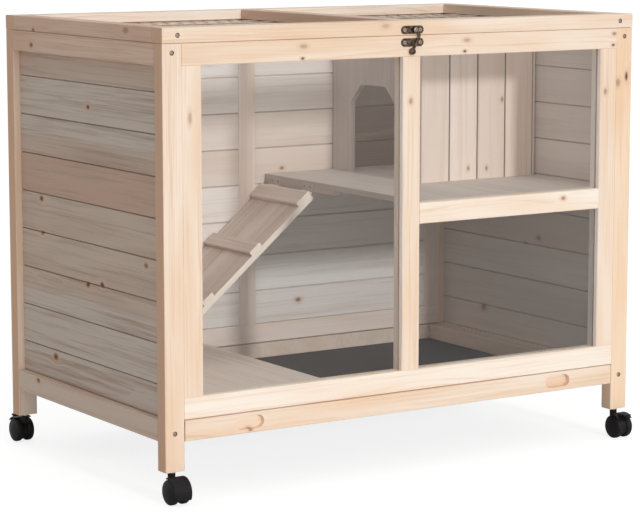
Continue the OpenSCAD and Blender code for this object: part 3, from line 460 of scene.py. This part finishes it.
for name, finish in finishes.items():
    made[name], shader, place = startMaterial(name, **finish["fixed"])
    speck = place.noise(*finish["speck"])
    feed(shader, "Base Color", speck.step(*finish.get("edge", speckEdge)).mix(finish["low"], finish["high"]))
    feed(shader, "Roughness", finish["rough"] + finish["uneven"] * speck)
    if "bump" in finish:
        feed(shader, "Normal", speck.bump(*finish["bump"]))
    dress(made[name], *finish["on"])

# ramp hinges: bright knuckles below a dull leaf
rampHinge = {"low": tint(222, 220, 216), "high": tint(242, 240, 236), "leaf": tint(206, 196, 189),
             "leafFrom": (0.4212, 0.4218), "speck": (350.0, 3.0),  # the leaf starts at this height in metres
             "rough": 0.14, "uneven": 0.12, "leafRough": 0.36}
material, shader, place = startMaterial("brightHinge")
speck = place.noise(*rampHinge["speck"])
leaf = place.add("SeparateXYZ", inputs={"Vector": place}, output="Z").step(*rampHinge["leafFrom"])
bright = speck.step(*speckEdge).mix(rampHinge["low"], rampHinge["high"])
feed(shader, "Base Color", leaf.mix(bright, rampHinge["leaf"]))
feed(shader, "Metallic", 1 - leaf)
feed(shader, "Roughness", rampHinge["rough"] + rampHinge["uneven"] * speck + rampHinge["leafRough"] * leaf)
dress(material, "ramp_hinge_fixed_leaves", "ramp_hinge_moving_leaves")
print("other finishes done:", len(finishes) + 3)

# screws: flat heads with a cross recess
screw = {"sides": 32, "deep": 0.0012, "rim": 0.0003, "rimSteps": 2,
         "crossLong": 1.3, "crossWide": 0.28, "crossDeep": 0.0008}  # the cross in radii, its depth in metres
face = screwAt["face"]
hingeX = [x + d for x in (-300, 300) for d in (-20, 20)]
rampHingeY = [y + d for y in (102, 208) for d in (-9.5, 9.5)]
screwGroups = {  # radius and stand above the face in metres, places in millimetres
    "frameScrews": {"body": "hutch", "finish": "lightScrew", "radius": 0.0028, "stand": -0.0004,
                    "node": "frame_screws",
                    "at": [(x, y, z) for side in (-1, 1) for y in (-face, face) for x, z in postScrews(side)]},
    "lidScrews": {"body": "lid", "finish": "lightScrew", "radius": 0.0028, "stand": -0.0004,
                  "node": "lid_screws", "at": [(x, y, z) for x, z in lidScrews for y in (-face, face)]},
    "lidHingeLowScrews": {"body": "hutch", "finish": "dullScrew", "radius": 0.0029, "stand": 0.0003,
                          "at": [(x, 268.7, 697.7) for x in hingeX]},
    "lidHingeHighScrews": {"body": "lid", "finish": "dullScrew", "radius": 0.0029, "stand": 0.0003,
                           "at": [(x, 268.7, 718.8) for x in hingeX]},
    "rampHingeScrews": {"body": "hutch", "finish": "dullScrew", "radius": 0.0021, "stand": 0.0002,
                        "facing": (-1, 0, 0), "at": [(37.3, y, 427.05) for y in rampHingeY]},
    "latchPlateScrews": {"body": "lid", "finish": "lightScrew", "radius": 0.0031, "stand": 0.00025,
                         "at": [(x, -269, 717) for x in (-15, 15)]},
    "latchKeeperScrews": {"body": "hutch", "finish": "lightScrew", "radius": 0.0031, "stand": 0.00025,
                          "at": [(x, -269, 697) for x in (-15, 15)]},
}


def only(*pieces):  # selects these pieces, the first of them active
    bpy.ops.object.select_all(action="DESELECT")
    for piece in pieces:
        piece.select_set(True)
    bpy.context.view_layer.objects.active = pieces[0]


def settle(piece):  # its place goes into its mesh
    only(piece)
    bpy.ops.object.transform_apply(location=True, rotation=True, scale=True)
    return piece


def screwHead(radius):
    deep = screw["deep"]
    cross = (radius * screw["crossLong"], radius * screw["crossWide"], 2 * screw["crossDeep"])
    bpy.ops.object.select_all(action="DESELECT")
    bpy.ops.mesh.primitive_cylinder_add(vertices=screw["sides"], radius=radius, depth=deep,
                                        location=(0, 0, -deep / 2))
    head = settle(bpy.context.object)
    for side in head.data.polygons:
        side.select = side.normal.z > 0.9  # the top
    bpy.ops.object.mode_set(mode="EDIT")
    bpy.ops.mesh.select_mode(type="FACE")
    bpy.ops.mesh.bevel(offset=screw["rim"], segments=screw["rimSteps"], affect="EDGES")
    bpy.ops.object.mode_set(mode="OBJECT")
    for turn in (0, 90):
        bpy.ops.mesh.primitive_cube_add(size=1, rotation=(0, 0, math.radians(turn)), scale=cross)
        cutter = settle(bpy.context.object)
        recess = head.modifiers.new("recess", "BOOLEAN")
        recess.operation = "DIFFERENCE"
        recess.object = cutter
        only(head)
        bpy.ops.object.modifier_apply(modifier="recess")
        only(cutter)
        bpy.ops.object.delete()
    return head


def scatter(name, master, spots):  # own copies of one piece, joined
    copies = []
    for spot, facing in spots:
        only(master)
        bpy.ops.object.duplicate()
        copy = bpy.context.object
        copy.rotation_mode = "QUATERNION"
        copy.rotation_quaternion = facing.to_track_quat("Z", "Y")
        copy.location = spot
        copies.append(settle(copy))
    only(*copies)
    if len(copies) > 1:
        bpy.ops.object.join()
    piece = bpy.context.object
    piece.name = name
    only(master)
    bpy.ops.object.delete()
    return piece


for name, group in screwGroups.items():
    spots = []
    for spot in group["at"]:
        way = Vector(group.get("facing", (0, math.copysign(1, spot[1]), 0)))
        spots.append((Vector(spot) / 1000 + way * group["stand"], way))
    piece = scatter(name, screwHead(group["radius"]), spots)
    piece.data.materials.append(made[group["finish"]])
    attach(piece, group["body"])
    if "node" in group:
        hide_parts(group["node"])
print("screws done:", len(screwGroups), "groups")

# latch: round rivet head and round hook end
domeForm = {"segments": 32, "rings": 17, "smoothBelow": 40}
latchDomes = {  # radius and height in metres, place in millimetres
    "latchRivet": {"body": "lid", "finish": "dullScrew", "radius": 0.0041, "high": 0.0013,
                   "at": (3.7, -272.9, 717)},
    "hookEnd": {"body": "hook", "finish": "darkBronze", "radius": 0.0051, "high": 0.0026,
                "at": (-1.3, -272.65, 682.6)},
}


def dome(radius, high):
    bpy.ops.object.select_all(action="DESELECT")
    bpy.ops.mesh.primitive_uv_sphere_add(segments=domeForm["segments"], ring_count=domeForm["rings"],
                                         radius=radius)
    piece = bpy.context.object
    bpy.ops.object.mode_set(mode="EDIT")
    bpy.ops.mesh.select_all(action="SELECT")
    bpy.ops.mesh.bisect(plane_co=(0, 0, 0), plane_no=(0, 0, 1), clear_inner=True, use_fill=True)
    bpy.ops.object.mode_set(mode="OBJECT")
    piece.scale.z = high / radius
    bpy.ops.object.shade_smooth_by_angle(angle=math.radians(domeForm["smoothBelow"]))
    return settle(piece)


for name, how in latchDomes.items():
    spot = (Vector(how["at"]) / 1000, Vector((0, -1, 0)))
    piece = scatter(name, dome(how["radius"], how["high"]), [spot])
    piece.data.materials.append(made[how["finish"]])
    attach(piece, how["body"])
print("latch done:", len(latchDomes), "domes")

# floor, light and camera
studio = {"key": 1.12, "keyAt": (0.6, -3, 1.5), "keyFrom": (0.02, -1.0, 0.275), "keyAngle": 5.5,
          "fill": 0.14, "front": 0.77, "top": 0.6, "air": (0.98, 0.99, 1, 1),
          "floor": (0.93, 0.93, 0.93, 1), "floorSize": 40, "floorRough": 0.8,
          "floorGlow": 1.32, "floorShow": 0.62}
bpy.ops.object.select_all(action="DESELECT")
bpy.ops.mesh.primitive_plane_add(size=studio["floorSize"], location=(0, 0, 0))
floor = bpy.context.object
floor.name = "floor"
material, shader, place = startMaterial("paleFloor", Roughness=studio["floorRough"], Base_Color=studio["floor"])
tree = material.node_tree
white = place.add("Emission", inputs={"Color": (1, 1, 1, 1), "Strength": studio["floorGlow"]})
seen = place.add("LightPath", output="Is Camera Ray")
lit = Flow(tree, shader.outputs[0])
shown = place.add("MixShader", inputs={0: seen * studio["floorShow"], 1: lit, 2: white})
tree.links.new(shown.socket, tree.nodes["Material Output"].inputs["Surface"])
floor.data.materials.append(material)

world = bpy.data.worlds.new("studio")
scene.world = world
world.use_nodes = True
tree = world.node_tree
for old in [node for node in tree.nodes if node.type == "BACKGROUND"]:
    tree.nodes.remove(old)
sky = Flow(tree)
aim = sky.add("SeparateXYZ", inputs={"Vector": sky.add("TexCoord", output="Generated")})
front = (aim.other("Y") * -1.0).clamp()  # broad soft lights stand before and above the object
above = aim.other("Z").clamp()
glow = studio["fill"] + studio["front"] * front * front + studio["top"] * above * above
ambient = sky.add("Background", inputs={"Color": studio["air"], "Strength": glow})
white = sky.add("Background", inputs={"Color": (1, 1, 1, 1), "Strength": 1.0})
path = sky.add("LightPath")
seen = path.other("Is Camera Ray") + path.other("Is Glossy Ray") + path.other("Is Transmission Ray")
both = sky.add("MixShader", inputs={0: seen.clamp(), 1: ambient, 2: white})
tree.links.new(both.socket, tree.nodes["World Output"].inputs["Surface"])

bpy.ops.object.light_add(type="SUN", location=studio["keyAt"])
key = bpy.context.object
key.name = "key"
key.data.energy = studio["key"]
key.data.angle = math.radians(studio["keyAngle"])
key.rotation_mode = "QUATERNION"
key.rotation_quaternion = Vector(studio["keyFrom"]).to_track_quat("Z", "Y")

shot = {"from": (-2.233, -3.442, 0.911), "azimuth": -32.95, "down": 8.205,
        "focal": 2420, "imageWidth": 640, "sensor": 36, "far": 100}  # focal length in pixels
bpy.ops.object.camera_add(location=shot["from"])
camera = bpy.context.object
camera.name = "camera"
az, down = math.radians(shot["azimuth"]), math.radians(shot["down"])
look = Vector((-math.sin(az) * math.cos(down), math.cos(az) * math.cos(down), -math.sin(down)))
camera.rotation_mode = "QUATERNION"
camera.rotation_quaternion = look.to_track_quat("-Z", "Y")
camera.data.sensor_width = shot["sensor"]
camera.data.lens = shot["focal"] / shot["imageWidth"] * shot["sensor"]
camera.data.clip_end = shot["far"]
scene.camera = camera
print("stage done")
